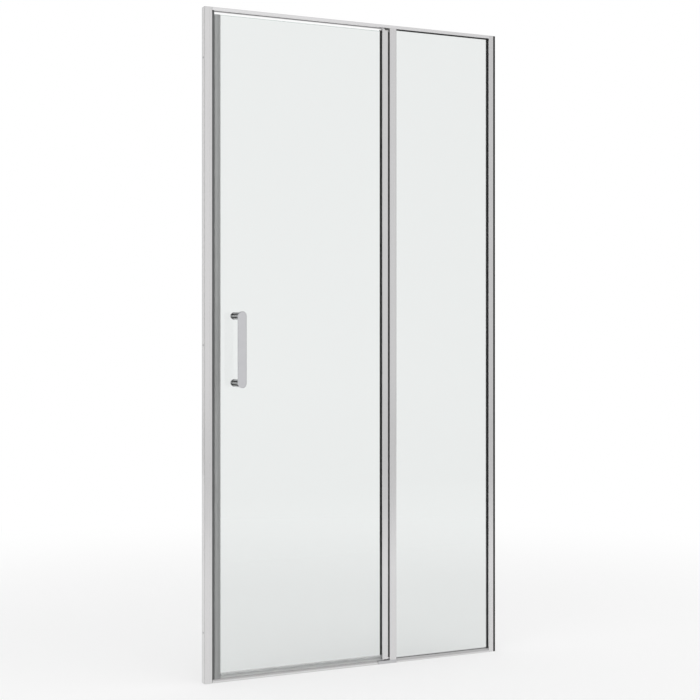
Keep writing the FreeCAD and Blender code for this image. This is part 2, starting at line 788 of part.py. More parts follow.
pivot_plug("top_pivot_plug", hinge_top, 1)
pivot_plug("bottom_pivot_plug", hinge_base, -1)
pivot_pin("top_pivot_pin", hinge_top - D.pin_seat_depth, D.pivot_gap_high, FACING_UP)
pivot_pin("bottom_pivot_pin", hinge_base + D.pin_seat_depth, D.pivot_gap_low, FACING_DOWN)
pivot_bush("top_pivot_bush", D.pivot_gap_high - D.slide_clearance, rail_under, FACING_DOWN)
pivot_bush("bottom_pivot_bush", D.pivot_gap_low - D.thrust_clearance, D.threshold_height, FACING_UP)

block_y = (front + D.jamb_wall + slot_half) / 2
block_screw_places = (pivot_x - D.block_screw_offset, pivot_x + D.block_screw_offset)
block_front = front + D.jamb_wall


def top_pivot_block():
    """A block in the top rail's cut-out, bored for the bush and its two screws."""
    fit = D.block_fit
    body = new_body("top_pivot_block")
    sketch = new_sketch(body, "XY_Plane")
    outline(sketch, rectangle(pivot_x - D.top_block_half + fit, block_front + fit,
                              pivot_x + D.top_block_half - fit, slot_half - fit))
    ring(sketch, pivot_x, pivot_y, D.bush_radius + D.bush_fit)
    for x in block_screw_places:
        screw_round(sketch, x, block_y, D.post_port_radius)
    pad(body, sketch, rail_slot_top - rail_under - fit)
    place(body, z=rail_under)
    keep(body)


def bottom_pivot_block():
    """The block under hinge section and post, with a notch for the fixed pane."""
    body = rail("bottom_pivot_block", rectangle(front, ZERO, back, D.threshold_height),
                low_block_left, post_right)
    round_rails(body, D.edge_radius, (front, D.threshold_height))
    left = low_block_left
    bore = new_sketch(body, "XY_Plane", offset=D.threshold_height)
    ring(bore, pivot_x - left, pivot_y, D.bush_radius + D.bush_fit)
    pocket(body, bore, depth=D.threshold_height - D.low_bush_floor)
    hole = new_sketch(body, "XY_Plane", offset=D.threshold_height)
    screw_round(hole, post_port_x - left, ZERO, D.post_screw_radius + D.screw_hole_clearance)
    pocket(body, hole)
    head = new_sketch(body, "XY_Plane", offset=D.post_screw_head_height + D.screw_hole_clearance)
    screw_round(head, post_port_x - left, ZERO, D.post_screw_head + D.screw_hole_clearance)
    pocket(body, head)
    notch = new_sketch(body, "XY_Plane", offset=D.threshold_height)
    outline(notch, rectangle(post_slot_end - left, -slot_half, post_right - left + D.cut_overrun, slot_half))
    pocket(body, notch, depth=D.threshold_height - D.bottom_rail_floor)


top_pivot_block()
bottom_pivot_block()


# Rails

def top_rail():
    """Channel open downwards for the fixed pane, cut out for the pivot block."""
    body = rail("top_rail",
                [(front, rail_under), (-slot_half, rail_under), (-slot_half, rail_slot_top),
                 (slot_half, rail_slot_top), (slot_half, rail_under), (back, rail_under),
                 (back, D.overall_height), (front, D.overall_height)],
                strike_edge, fixed_edge,
                ports=[(y, top_port_z, D.port_radius) for y in (-port_y, port_y)])
    round_rails(body, D.edge_radius, (front, D.overall_height), (back, D.overall_height), (front, rail_under))
    left = strike_edge
    cutout = new_sketch(body, "XY_Plane", offset=rail_slot_top)
    outline(cutout, rectangle(pivot_x - D.top_block_half - left, block_front,
                              pivot_x + D.top_block_half - left, slot_half))
    pocket(body, cutout)
    holes = new_sketch(body, "XY_Plane", offset=D.overall_height)
    screw_places = [(x, block_y) for x in block_screw_places] + [(post_port_x, ZERO)]
    for x, y in screw_places:
        screw_round(holes, x - left, y, D.post_screw_radius + D.screw_hole_clearance)
    pocket(body, holes)
    heads = new_sketch(body, "XY_Plane", offset=D.overall_height)
    for x, y in screw_places:
        screw_round(heads, x - left, y, D.post_screw_head + D.screw_hole_clearance, SEEN_SIDES)
    pocket(body, heads, depth=D.post_screw_head_height + D.screw_hole_clearance)


def threshold_rail():
    """Low hollow sill: bevelled towards the room, sloping towards the shower."""
    top = D.threshold_height
    wall = D.threshold_wall
    rail("threshold_rail",
         [(front, ZERO), (back, ZERO), (back, D.threshold_rear_height), (back - D.threshold_slope_run, top),
          (front + D.threshold_bevel, top), (front, top - D.threshold_bevel)],
         strike_edge + D.rail_end_gap, low_block_left - D.rail_end_gap,
         hollows=[rectangle(-slot_half, wall, slot_half, top - wall)],
         ports=[(y, D.base_port_height, D.port_radius) for y in (-port_y, port_y)])


def bottom_rail():
    """Channel open upwards for the fixed pane, with a sloping front."""
    top = D.bottom_rail_height
    rail("bottom_rail",
         [(front, ZERO), (back, ZERO), (back, top), (slot_half, top), (slot_half, D.bottom_rail_floor),
          (-slot_half, D.bottom_rail_floor), (-slot_half, top), (-(slot_half + D.bottom_rail_lip), top),
          (front, D.bottom_rail_toe)],
         post_right, fixed_edge,
         ports=[(y, D.base_port_height, D.port_radius) for y in (-port_y, port_y)])


top_rail()
threshold_rail()
bottom_rail()


# Panes

def pane(name, left, right, base, top, holes=()):
    """A toughened pane with chamfered edges, and round holes where the handle goes."""
    body = new_body(name)
    sketch = new_sketch(body, "XZ_Plane")
    outline(sketch, rectangle(left, base, right, top))
    for x, z, radius in holes:
        ring(sketch, x, z, radius)
    pad(body, sketch, D.glass_thickness, symmetric=True)
    sides = [(y, z) for y in (-half_glass, half_glass) for z in (base, top)]
    ends = [(x, y) for x in (left, right) for y in (-half_glass, half_glass)]
    edges = edges_along(body, 0, sides) + edges_along(body, 2, ends)
    finish_edges(body, "PartDesign::Chamfer", "Size", D.glass_arris, edges)
    place(body)
    keep(body)


handle_x = pane_left + D.handle_inset
standoff_heights = (D.handle_height - D.standoff_spacing / 2, D.handle_height + D.standoff_spacing / 2)
pane("door_glass", pane_left, pane_right, pane_base, pane_top,
     holes=[(handle_x, z, D.glass_hole_radius) for z in standoff_heights])
pane("fixed_glass", panel_left, panel_right, panel_base, panel_top)


# Glazing gaskets: a U round each held edge

def gasket_outline(floor, mouth, sign):
    """Section of a U gasket, from the slot's floor to its mouth."""
    fit = D.seat_clearance
    side = slot_half - fit
    web = floor + D.gasket_wall * sign
    bottom = floor + fit * sign
    return [(bottom, -side), (mouth, -side), (mouth, -half_glass), (web, -half_glass),
            (web, half_glass), (mouth, half_glass), (mouth, side), (bottom, side)]


def swapped(points):
    """The same section with depth first, as a level section needs it."""
    return [(y, x) for x, y in points]


upright("hinge_glass_gasket", gasket_outline(hinge_slot_end, hinge_left, -1), hinge_base, hinge_top)
upright("post_glass_gasket", gasket_outline(post_slot_end, post_right, 1), D.threshold_height, rail_under)
upright("right_glass_gasket", gasket_outline(fixed_slot_end, fixed_edge, -1), panel_base, panel_top)
rail("top_glass_gasket", swapped(gasket_outline(rail_slot_top, rail_under, -1)), post_right, fixed_edge)
rail("bottom_glass_gasket", swapped(gasket_outline(D.bottom_rail_floor, D.bottom_rail_height, 1)),
     post_right, fixed_edge)


# Drip seal: clips on the pane's lower edge and wipes over the threshold

def drip_seal():
    leg = half_glass + D.seal_leg_wall
    leg_top = pane_base + D.drip_leg_height
    web_under = pane_base - D.drip_web
    wiper_tip = D.threshold_height + D.drip_clearance
    wall = D.drip_wiper_wall
    rail("drip_seal",
         [(-leg, leg_top), (-leg, wiper_tip), (-leg + wall, wiper_tip), (-half_glass, web_under),
          (half_glass, web_under), (leg + D.drip_wiper_reach - wall, wiper_tip),
          (leg + D.drip_wiper_reach, wiper_tip), (leg, pane_base), (leg, leg_top), (half_glass, leg_top),
          (half_glass, pane_base), (-half_glass, pane_base), (-half_glass, leg_top)],
         pane_left + D.seal_leg_length + D.seal_end_gap, hinge_left - D.seal_end_gap)


drip_seal()


# Handle: pill-shaped grip on two standoffs, bolted through the glass

grip_front = -(half_glass + D.grip_reach)
grip_back = grip_front + D.grip_thickness
washer_front = -(half_glass + D.washer_thickness)
washer_inside = half_glass + D.washer_thickness


def handle_plate():
    body = new_body("handle_plate")
    sketch = new_sketch(body, "XZ_Plane")
    pill(sketch, handle_x, standoff_heights[0], standoff_heights[1], D.grip_width / 2)
    pad(body, sketch, D.grip_thickness)
    seats = new_sketch(body, "XZ_Plane")
    for z in standoff_heights:
        ring(seats, handle_x, z, D.spigot_radius + D.spigot_fit)
    pocket(body, seats, depth=D.spigot_length + D.spigot_fit, reverse=True)
    rim = [edge_name for edge_name, edge in edges_by_name(body) if on_level(edge, 1, -D.grip_thickness)]
    finish_edges(body, "PartDesign::Chamfer", "Size", D.grip_edge, rim)
    place(body, y=grip_back)
    keep(body)


def standoff(name, height):
    """A round post with a spigot for the grip and a blind hole for its bolt."""
    length = washer_front - grip_back
    edge = D.standoff_edge
    radius = D.standoff_radius
    bore = D.bolt_radius + D.bolt_fit
    body = new_body(name)
    depth = D.bolt_depth + D.bolt_fit
    tip = length + D.spigot_length
    turn(body, [(bore, ZERO), (radius - edge, ZERO), (radius, edge), (radius, length),
                (D.spigot_radius, length), (D.spigot_radius, tip), (ZERO, tip), (ZERO, depth),
                (bore, depth)])
    place(body, handle_x, washer_front, height, FACING_OUT)
    return body


def glass_washer(name, height, side, facing, sleeve_length=None):
    """A soft washer, with a sleeve that lines the hole in the glass where a length is given."""
    bore = D.bolt_radius + D.bolt_fit
    rim = [(D.washer_radius, ZERO), (D.washer_radius, D.washer_thickness), (bore, D.washer_thickness)]
    sleeve = D.glass_hole_radius - D.washer_sleeve_fit
    foot = [(bore, ZERO)]
    if sleeve_length is not None:
        foot = [(bore, -sleeve_length), (sleeve, -sleeve_length), (sleeve, ZERO)]
    body = new_body(name)
    turn(body, foot + rim)
    place(body, handle_x, side, height, facing)
    return body


def cap_bolt(name, height):
    """A bolt with a round cap on the inside, through the glass into a standoff; its thread is drawn plain."""
    bevel_share = 0.3
    cap = D.standoff_radius
    edge = D.cap_edge
    top = D.cap_height
    shank = washer_inside - washer_front + D.bolt_depth
    body = new_body(name)
    bevel = edge * bevel_share
    turn(body, [(ZERO, -shank), (D.bolt_radius, -shank), (D.bolt_radius, ZERO), (cap, ZERO),
                (cap, top - edge), (cap - bevel, top - bevel), (cap - edge, top), (ZERO, top)])
    place(body, handle_x, washer_inside, height, FACING_IN)
    return body


handle_plate()
group("handle_standoffs", [standoff("standoff_%d" % n, z) for n, z in enumerate(standoff_heights)])
sleeve_length = D.glass_thickness - D.washer_sleeve_fit
group("outer_washers", [glass_washer("outer_washer_%d" % n, z, -half_glass, FACING_OUT, sleeve_length)
                        for n, z in enumerate(standoff_heights)])
group("inner_washers", [glass_washer("inner_washer_%d" % n, z, half_glass, FACING_IN)
                        for n, z in enumerate(standoff_heights)])
group("cap_bolts", [cap_bolt("cap_bolt_%d" % n, z) for n, z in enumerate(standoff_heights)])


# Screws

def lock_screws(name, x):
    """Three screws on the inner leg that lock a jamb on its wall channel."""
    screws = []
    for number, z in enumerate(lock_heights):
        one = screw("%s_%d" % (name, number), D.lock_screw_radius, D.lock_screw_length,
                    D.lock_screw_head, D.lock_screw_head_height)
        place(one, x, back, z, FACING_IN)
        screws.append(one)
    group(name, screws)


def rail_screws(name, x, facing):
    """Four screws along X through a jamb into the ports of its two rails."""
    screws = []
    for number, (y, z) in enumerate(rail_screw_places):
        one = screw("%s_%d" % (name, number), D.rail_screw_radius, D.rail_screw_length,
                    D.rail_screw_head, D.rail_screw_head_height)
        place(one, x, y, z, facing)
        screws.append(one)
    group(name, screws)


def sunk_screw(name, x, y, z, length, facing):
    """A flat screw whose head lies in a counterbore."""
    one = screw(name, D.post_screw_radius, length, D.post_screw_head, D.post_screw_head_height)
    place(one, x, y, z, facing)
    return one


def plug_screw(name, z):
    """A set screw through the hinge section's side into a plug."""
    body = new_body(name)
    sketch = new_sketch(body, "XY_Plane", offset=-D.plug_screw_length)
    screw_round(sketch, ZERO, ZERO, D.plug_screw_radius)
    pad(body, sketch, D.plug_screw_length)
    place(body, hinge_right, pivot_y, z, FACING_RIGHT)
    return body


head_floor = D.post_screw_head_height + D.screw_hole_clearance
head_seat = D.overall_height - head_floor
lock_screws("left_lock_screws", strike_lock_x)
lock_screws("right_lock_screws", fixed_lock_x)
rail_screws("left_rail_screws", strike_web, FACING_LEFT)
rail_screws("right_rail_screws", fixed_edge + D.jamb_wall, FACING_RIGHT)
group("post_screws", [
    sunk_screw("post_screw_high", post_port_x, ZERO, head_seat, D.post_screw_length, FACING_UP),
    sunk_screw("post_screw_low", post_port_x, ZERO, head_floor, D.post_screw_length, FACING_DOWN)])
group("top_block_screws", [
    sunk_screw("block_screw_%d" % n, x, block_y, head_seat, D.block_screw_length, FACING_UP)
    for n, x in enumerate(block_screw_places)])
group("plug_screws", [plug_screw("plug_screw_low", hinge_base + D.plug_screw_inset),
                      plug_screw("plug_screw_high", hinge_top - D.plug_screw_inset)])


# Check every object, then write one file for each sub-part

doc.recompute()
for item in doc.Objects:
    if "Invalid" in item.State or "Error" in item.State:
        raise RuntimeError("%s failed: %s" % (item.Label, item.State))
for piece in subparts:
    if piece.Shape.isNull() or not piece.Shape.isValid():
        raise RuntimeError("%s has no valid shape" % piece.Label)

os.makedirs("parts", exist_ok=True)
for piece in subparts:
    piece.Shape.exportStep("parts/%s.step" % piece.Label)
print(len(subparts), "sub-parts written")
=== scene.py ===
import json
import math
from collections import namedtuple

import bpy
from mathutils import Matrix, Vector


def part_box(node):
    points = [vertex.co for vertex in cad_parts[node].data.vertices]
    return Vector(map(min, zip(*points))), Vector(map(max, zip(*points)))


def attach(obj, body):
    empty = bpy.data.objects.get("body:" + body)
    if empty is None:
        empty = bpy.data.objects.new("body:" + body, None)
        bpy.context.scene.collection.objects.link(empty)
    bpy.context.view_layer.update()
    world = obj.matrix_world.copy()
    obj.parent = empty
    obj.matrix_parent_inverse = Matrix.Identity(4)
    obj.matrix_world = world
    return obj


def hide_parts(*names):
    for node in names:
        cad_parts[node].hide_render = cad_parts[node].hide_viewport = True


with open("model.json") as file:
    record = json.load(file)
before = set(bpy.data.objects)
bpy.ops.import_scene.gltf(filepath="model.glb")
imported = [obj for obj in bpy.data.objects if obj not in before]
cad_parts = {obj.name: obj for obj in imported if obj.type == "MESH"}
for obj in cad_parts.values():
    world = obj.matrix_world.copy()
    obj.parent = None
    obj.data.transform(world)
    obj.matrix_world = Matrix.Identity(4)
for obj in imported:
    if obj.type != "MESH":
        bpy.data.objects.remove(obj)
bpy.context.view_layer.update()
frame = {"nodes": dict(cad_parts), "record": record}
nodes = frame["nodes"]
scene = bpy.context.scene
scene.view_settings.view_transform = "Standard"


# Nodes of materials, of the world and of Geometry Nodes

class Value:
    """One output of a node. Arithmetic on it adds Math nodes."""

    def __init__(self, tree, socket):
        self.tree = tree
        self.socket = socket

    def __add__(self, other):
        return self.tree.math("ADD", self, other)

    def __sub__(self, other):
        return self.tree.math("SUBTRACT", self, other)

    def __rsub__(self, other):
        return self.tree.math("SUBTRACT", other, self)

    def __mul__(self, other):
        return self.tree.math("MULTIPLY", self, other)

    __radd__ = __add__
    __rmul__ = __mul__


def between(low, high, share):
    """A share from 0 to 1 spread over the range from low to high."""
    return share * (high - low) + low


class NodeTree:
    """A tree that nodes are added to."""

    def __init__(self, tree):
        self.tree = tree

    def node(self, kind, settings=None, inputs=None, output=0):
        """Adds a node: its settings first, then the values or links of its sockets."""
        made = self.tree.nodes.new(kind)
        for name, setting in (settings or {}).items():
            setattr(made, name, setting)
        for name, given in (inputs or {}).items():
            for one in given if isinstance(given, list) else [given]:
                if isinstance(one, Value):
                    self.tree.links.new(one.socket, made.inputs[name])
                else:
                    made.inputs[name].default_value = one
        return self.output(made, output)

    def output(self, made, name):
        """An output of a node, or several of them where a tuple of names is given."""
        if isinstance(name, tuple):
            return [self.output(made, each) for each in name]
        return Value(self, made.outputs[name] if made.outputs else None)

    def math(self, operation, *operands):
        """A Math node on one or two numbers."""
        return self.node("ShaderNodeMath", {"operation": operation}, dict(enumerate(operands)))

    def ramp(self, place, start, end, low=0.0, high=1.0, course="LINEAR"):
        """A number that goes from low to high while a place goes from start to end."""
        return self.node("ShaderNodeMapRange", {"interpolation_type": course}, {
            "Value": place, "From Min": start, "From Max": end, "To Min": low, "To Max": high})


class Finish(NodeTree):
    """The tree of a material or of the world."""

    def __init__(self, owner):
        owner.use_nodes = True
        self.owner = owner
        super().__init__(owner.node_tree)
        self.tree.nodes.clear()

    def place(self, scale=(1, 1, 1)):
        """Object coordinates in metres, stretched by a scale."""
        where = self.node("ShaderNodeTexCoord", output="Object")
        return self.node("ShaderNodeMapping", inputs={"Vector": where, "Scale": scale})

    def along(self, axis):
        """The object coordinate along an axis, or along each of several."""
        return self.node("ShaderNodeSeparateXYZ", inputs={"Vector": self.place()}, output=axis)

    def noise(self, where, scale=1.0, detail=2.0):
        return self.node("ShaderNodeTexNoise", inputs={"Vector": where, "Scale": scale, "Detail": detail})

    def blend(self, share, first, second):
        """A colour between two."""
        return self.node("ShaderNodeMix", {"data_type": "RGBA"}, {0: share, 6: first, 7: second}, 2)

    def bump(self, height, depth):
        """A surface normal from a height of 0 to 1 and its depth in metres."""
        return self.node("ShaderNodeBump", inputs={"Height": height, "Distance": depth, "Strength": 1.0})

    def surface(self, inputs):
        """Adds the material's one surface shader and gives the material back."""
        shader = self.node("ShaderNodeBsdfPrincipled", inputs=inputs)
        self.node("ShaderNodeOutputMaterial", inputs={"Surface": shader})
        return self.owner


def finish(name):
    """The empty tree of a new material."""
    return Finish(bpy.data.materials.new(name))


class Recipe(NodeTree):
    """A Geometry Nodes tree. Its inputs are the points that it starts from and sizes in metres."""

    SHARP_EDGE = math.radians(35)

    def __init__(self, name, labels):
        super().__init__(bpy.data.node_groups.new(name, "GeometryNodeTree"))
        sockets = self.tree.interface
        points = sockets.new_socket("points", in_out="INPUT", socket_type="NodeSocketGeometry")
        self.inputs = {"points": points.identifier}
        for label in labels:
            size = sockets.new_socket(label, in_out="INPUT", socket_type="NodeSocketFloat")
            self.inputs[label] = size.identifier
        sockets.new_socket("pieces", in_out="OUTPUT", socket_type="NodeSocketGeometry")
        self.start = self.tree.nodes.new("NodeGroupInput")

    def given(self, label):
        """One of the tree's own inputs."""
        return self.output(self.start, label)

    def vector(self, x=0.0, y=0.0, z=0.0):
        return self.node("ShaderNodeCombineXYZ", inputs={"X": x, "Y": y, "Z": z})

    def moved(self, shape, z):
        """A shape that is moved up or down."""
        return self.node("GeometryNodeTransform", inputs={"Geometry": shape, "Translation": self.vector(z=z)})

    def end(self, pieces, material):
        """Makes the instances real and gives them their material."""
        real = self.node("GeometryNodeRealizeInstances", inputs={"Geometry": pieces})
        coated = self.node("GeometryNodeSetMaterial", inputs={"Geometry": real, "Material": material})
        self.node("NodeGroupOutput", inputs={"pieces": coated})

    def grow(self, name, points, sizes, facings=(), paths=()):
        """Runs the tree on points that face given ways or on paths between points, and keeps a plain mesh."""
        mesh = bpy.data.meshes.new(name)
        mesh.from_pydata(points, paths, [])
        if facings:
            facing = mesh.attributes.new("facing", "FLOAT_VECTOR", "POINT")
            for row, direction in zip(facing.data, facings):
                row.vector = direction
        piece = bpy.data.objects.new(name, mesh)
        scene.collection.objects.link(piece)
        maker = piece.modifiers.new("maker", "NODES")
        maker.node_group = self.tree
        for label, size in sizes.items():
            maker[self.inputs[label]] = size
        grown = piece.evaluated_get(bpy.context.evaluated_depsgraph_get())
        whole = bpy.data.meshes.new_from_object(grown)
        piece.modifiers.clear()
        piece.data = whole
        whole.name = name
        whole.shade_smooth()
        whole.set_sharp_from_angle(angle=self.SHARP_EDGE)
        return piece


# Finishes. Each has a darker and a lighter tone, mixed by patterns on the piece's own coordinates in metres

DIE_LINES_UP = (700, 700, 5)
DIE_LINES_ACROSS = (5, 700, 700)
SEAL_LINES_UP = (500, 500, 3)
SEAL_LINES_ACROSS = (3, 500, 500)
ROLLER_WAVE = (2, 2, 9)


def drawn_aluminium(name, grain, dark=(0.70, 0.693, 0.697, 1), light=(0.82, 0.813, 0.817, 1)):
    """Bright anodised extrusion with fine lines from the die along its length and a faint etched grain."""
    f = finish(name)
    lines = f.noise(f.place(grain), detail=4.0)
    grains = f.noise(f.place(), scale=2600.0)
    cloud = f.noise(f.place(), scale=9.0)
    return f.surface({
        "Base Color": f.blend(lines * 0.6 + cloud * 0.4, dark, light),
        "Metallic": 1.0,
        "Roughness": between(0.10, 0.27, lines * 0.5 + cloud * 0.3 + grains * 0.2),
        "Normal": f.bump(lines * 0.85 + grains * 0.15, depth=0.00004),
    })


def plated_metal(name, dark, light):
    """Mirror-like plating of the handle."""
    f = finish(name)
    cloud = f.noise(f.place(), scale=30.0, detail=3.0)
    return f.surface({
        "Base Color": f.blend(cloud, dark, light),
        "Metallic": 1.0,
        "Roughness": between(0.05, 0.11, cloud),
        "Normal": f.bump(cloud, depth=0.00001),
    })


def clear_glass(half_thickness):
    """Toughened pane: faintly green, deeper at its ground edges, with a slight wave from the rollers."""
    f = finish("clear_glass")
    wave = f.noise(f.place(ROLLER_WAVE), detail=0.0)
    rim_depth, face_depth = half_thickness * 0.90, half_thickness * 0.97
    on_face = f.ramp(f.math("ABSOLUTE", f.along("Y")), rim_depth, face_depth)
    edge_green = (0.32, 0.55, 0.47, 1)
    face_green = (0.84, 0.86, 0.853, 1)
    return f.surface({
        "Base Color": f.blend(on_face, edge_green, face_green),
        "Roughness": 0.0,
        "IOR": 1.5,
        "Transmission Weight": 1.0,
        "Normal": f.bump(wave, depth=0.00004),
    })


def clear_seal(name, grain, dark, light, thinning=None):
    """Translucent soft extrusion. Its legs get clearer between two levels where these are given."""
    f = finish(name)
    lines = f.noise(f.place(grain))
    cloud = f.noise(f.place(), scale=25.0, detail=3.0)
    thick, thin = 0.85, 0.12
    return f.surface({
        "Base Color": f.blend(cloud, dark, light),
        "Roughness": between(0.22, 0.42, lines),
        "IOR": 1.45,
        "Transmission Weight": 0.5,
        "Alpha": f.ramp(f.along("Z"), *thinning, thick, thin) if thinning else thick,
        "Normal": f.bump(lines, depth=0.00003),
    })


def soft_rubber(name, dark, light):
    """Matt rubber with a fine grain."""
    f = finish(name)
    grain = f.noise(f.place(), scale=1400.0, detail=3.0)
    cloud = f.noise(f.place(), scale=40.0)
    return f.surface({
        "Base Color": f.blend(cloud, dark, light),
        "Roughness": between(0.45, 0.7, grain * 0.5 + cloud * 0.5),
        "Normal": f.bump(grain, depth=0.00003),
    })


def painted_shade_channel(name, dark, light):
    """Metal section on the wall, coloured near black as painted shade: the dark stands in for the shadow in
    the recess between the right jamb and the wall.
    """
    f = finish(name)
    lines = f.noise(f.place(DIE_LINES_UP), detail=3.0)
    cloud = f.noise(f.place(), scale=12.0)
    return f.surface({
        "Base Color": f.blend(cloud, dark, light),
        "Metallic": 1.0,
        "Roughness": between(0.24, 0.4, lines * 0.6 + cloud * 0.4),
        "Normal": f.bump(lines, depth=0.00002),
    })


def turned_steel(name, dark, light):
    """Plain steel of pins and screws."""
    f = finish(name)
    cloud = f.noise(f.place(), scale=220.0, detail=4.0)
    return f.surface({
        "Base Color": f.blend(cloud, dark, light),
        "Metallic": 1.0,
        "Roughness": between(0.2, 0.38, cloud),
        "Normal": f.bump(cloud, depth=0.00003),
    })


def casting(name, dark, light):
    """Cast metal with a fine peel."""
    f = finish(name)
    peel = f.noise(f.place(), scale=900.0)
    cloud = f.noise(f.place(), scale=35.0)
    return f.surface({
        "Base Color": f.blend(cloud, dark, light),
        "Metallic": 1.0,
        "Roughness": between(0.22, 0.4, peel * 0.5 + cloud * 0.5),
        "Normal": f.bump(peel, depth=0.00003),
    })


def bearing_plastic(name, dark, light):
    """Dark bearing plastic of the bushes."""
    f = finish(name)
    cloud = f.noise(f.place(), scale=60.0, detail=3.0)
    return f.surface({
        "Base Color": f.blend(cloud, dark, light),
        "Roughness": between(0.35, 0.5, cloud),
        "Normal": f.bump(cloud, depth=0.00003),
    })


DRIP_SEAL_LEGS = (0.016, 0.027)                     # levels between which the drip seal's legs get thinner
half_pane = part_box("door_glass")[1].y
rail_aluminium = drawn_aluminium("rail_aluminium", DIE_LINES_ACROSS)
slot_finishes = {
    "polished_aluminium": drawn_aluminium("upright_aluminium", DIE_LINES_UP),
    # Painted shade: the right wall channel is near black to stand for the shadow in its recess.
    "dark_aluminium": painted_shade_channel("painted_shade_channel", (0.020, 0.019, 0.019, 1), (0.032, 0.031, 0.030, 1)),
    "clear_glass": clear_glass(half_pane),
    "clear_seal": clear_seal("clear_seal", SEAL_LINES_UP, (0.60, 0.615, 0.61, 1), (0.68, 0.695, 0.69, 1)),
    "grey_seal": soft_rubber("grey_seal", (0.10, 0.105, 0.105, 1), (0.14, 0.145, 0.145, 1)),
    "black_rubber": soft_rubber("black_rubber", (0.012, 0.012, 0.012, 1), (0.022, 0.022, 0.022, 1)),
    "magnet": soft_rubber("magnet", (0.035, 0.032, 0.03, 1), (0.06, 0.056, 0.052, 1)),
    "polished_metal": plated_metal("plated_metal", (0.60, 0.60, 0.62, 1), (0.66, 0.66, 0.68, 1)),
    "stainless_steel": turned_steel("turned_steel", (0.48, 0.48, 0.475, 1), (0.60, 0.60, 0.59, 1)),
    "cast_metal": casting("cast_metal", (0.32, 0.32, 0.325, 1), (0.42, 0.42, 0.425, 1)),
    "pivot_base_metal": casting("pivot_base_metal", (0.58, 0.58, 0.59, 1), (0.68, 0.68, 0.69, 1)),
    "bearing_plastic": bearing_plastic("bearing_plastic", (0.055, 0.055, 0.053, 1), (0.085, 0.085, 0.082, 1)),
}
node_finishes = {
    # Painted light: the top rail gets a lighter copy of the uprights' aluminium, which stands for more light
    # falling on it.
    "top_rail": drawn_aluminium(
        "top_rail_lit_aluminium", DIE_LINES_ACROSS, (0.80, 0.793, 0.80, 1), (0.92, 0.913, 0.92, 1)),
    "threshold_rail": rail_aluminium,
    "bottom_rail": rail_aluminium,
    "drip_seal": clear_seal(
        "drip_seal", SEAL_LINES_ACROSS, (0.90, 0.91, 0.905, 1), (0.95, 0.96, 0.955, 1), DRIP_SEAL_LEGS),
    # Painted shade: the standoffs get a much darker copy of the handle's plating, which stands for the dark
    # reflections and shade on them.
    "handle_standoffs": plated_metal("standoff_shaded_plating", (0.31, 0.31, 0.312, 1), (0.38, 0.38, 0.382, 1)),
}
for part in frame["record"]["subparts"]:
    name = part["node"]
    nodes[name].data.materials.clear()
    nodes[name].data.materials.append(node_finishes.get(name, slot_finishes[part["material_slot"]]))


# Screws

ScrewSizes = namedtuple("ScrewSizes", "head_radius head_height shank_radius shank_length")

HEAD_SIDES = 48
SHANK_SIDES = 20
RIM_SHARE = 0.45                                    # the head's straight rim, of the head's height
SUNK_SHARE = 0.3                                    # the shank's reach into the head, of the rim's height
TWIST_SEED = 7
MOST_TWIST = 1.5                                    # how far a screw may be turned, in radians


def screw_recipe(name, material, dome, recess=None, reach_rule=None):
    """Screws that face their own ways. Dome and recess are steps in shares of the head's height and width."""
    r = Recipe(name, ScrewSizes._fields)
    tall = r.given("head_height")
    rim = tall * RIM_SHARE
    head, top = r.node("GeometryNodeMeshCylinder", {"fill_type": "NGON"},
                       {"Vertices": HEAD_SIDES, "Radius": r.given("head_radius"), "Depth": rim},
                       ("Mesh", "Top"))
    head = r.moved(head, rim * 0.5)

    def raised(head, top, height, width):
        """The head with its top face raised by a share of the head's height and narrowed."""
        head, top = r.node("GeometryNodeExtrudeMesh", {"mode": "FACES"},
                           {"Mesh": head, "Selection": top, "Offset": r.vector(z=tall * height),
                            "Offset Scale": 1.0}, ("Mesh", "Top"))
        return r.node("GeometryNodeScaleElements", {"domain": "FACE"},
                      {"Geometry": head, "Selection": top, "Scale": width}), top

    for height, width in dome:
        head, top = raised(head, top, height, width)
    if recess:
        where = r.node("GeometryNodeInputPosition")
        x, y, z = r.node("ShaderNodeSeparateXYZ", inputs={"Vector": where}, output=("X", "Y", "Z"))
        reach = reach_rule(r, r.math("ARCTAN2", y, x))
        head = r.node("GeometryNodeSetPosition", inputs={
            "Geometry": head, "Selection": top, "Position": r.vector(x * reach, y * reach, z)})
        head, top = raised(head, top, *recess)
    length = r.given("shank_length")
    shank = r.node("GeometryNodeMeshCylinder", {"fill_type": "NGON"},
                   {"Vertices": SHANK_SIDES, "Radius": r.given("shank_radius"), "Depth": length}, "Mesh")
    shank = r.moved(shank, rim * SUNK_SHARE - length * 0.5)
    screw = r.node("GeometryNodeJoinGeometry", inputs={"Geometry": [head, shank]})
    facing = r.node("GeometryNodeInputNamedAttribute", {"data_type": "FLOAT_VECTOR"}, {"Name": "facing"})
    stand = r.node("FunctionNodeAlignRotationToVector", {"axis": "Z"}, {"Vector": facing})
    twist = r.node("FunctionNodeRandomValue", {"data_type": "FLOAT"},
                   {2: 0.0, 3: MOST_TWIST, "Seed": TWIST_SEED}, 1)
    turn = r.node("FunctionNodeEulerToRotation", inputs={"Euler": r.vector(z=twist)})
    spun = r.node("FunctionNodeRotateRotation", {"rotation_space": "LOCAL"},
                  {"Rotation": stand, "Rotate By": turn})
    screws = r.node("GeometryNodeInstanceOnPoints", inputs={
        "Points": r.given("points"), "Instance": screw, "Rotation": spun})
    r.end(screws, material)
    return r


def cross_reach(r, turn):
    """How far a cross recess reaches at each angle, as a share of its longest arm."""
    arms = 4
    between_arms = 0.30
    return between(between_arms, 1.0, r.math("COSINE", turn * arms) * 0.5 + 0.5)


def hexagon_reach(r, turn):
    """How far a hexagon reaches at each angle, as a share of its corners."""
    half_side = math.pi / 6
    beside = r.math("PINGPONG", turn + math.pi, half_side)
    return r.math("DIVIDE", math.cos(half_side), r.math("COSINE", half_side - beside))


